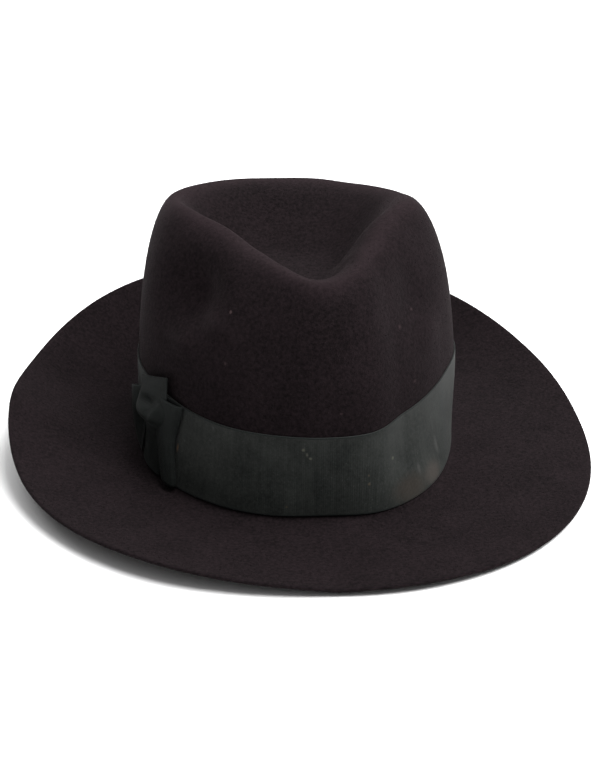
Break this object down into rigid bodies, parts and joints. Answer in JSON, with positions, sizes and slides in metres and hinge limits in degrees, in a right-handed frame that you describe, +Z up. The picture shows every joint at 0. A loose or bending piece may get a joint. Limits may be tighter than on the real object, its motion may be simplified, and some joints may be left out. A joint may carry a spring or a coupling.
{
  "type": "fedora",
  "caption": "Felt fedora with a pinched teardrop crown, a curved brim turned up at the back, and a ribbon band with a flat bow.",
  "frame": {"origin": "middle of the hat's own box in plan, at the level of the surface that it rests on", "axes": "+Z up through the crown, -Y towards the front of the brim, -X towards the bow on the wearer's right"},
  "size_m": [0.3062, 0.3314, 0.1337],
  "materials": {
    "felt": "matte fur felt, near black with a warm plum tone, short brushed nap",
    "ribbon": "ribbed grosgrain, faded green black, slightly dusty"
  },
  "bodies": {
    "root": {"felt_body": "felt", "ribbon_band": "ribbon", "bow_front_loop": "ribbon", "bow_rear_loop": "ribbon", "bow_knot": "ribbon"}
  },
  "joints": []
}
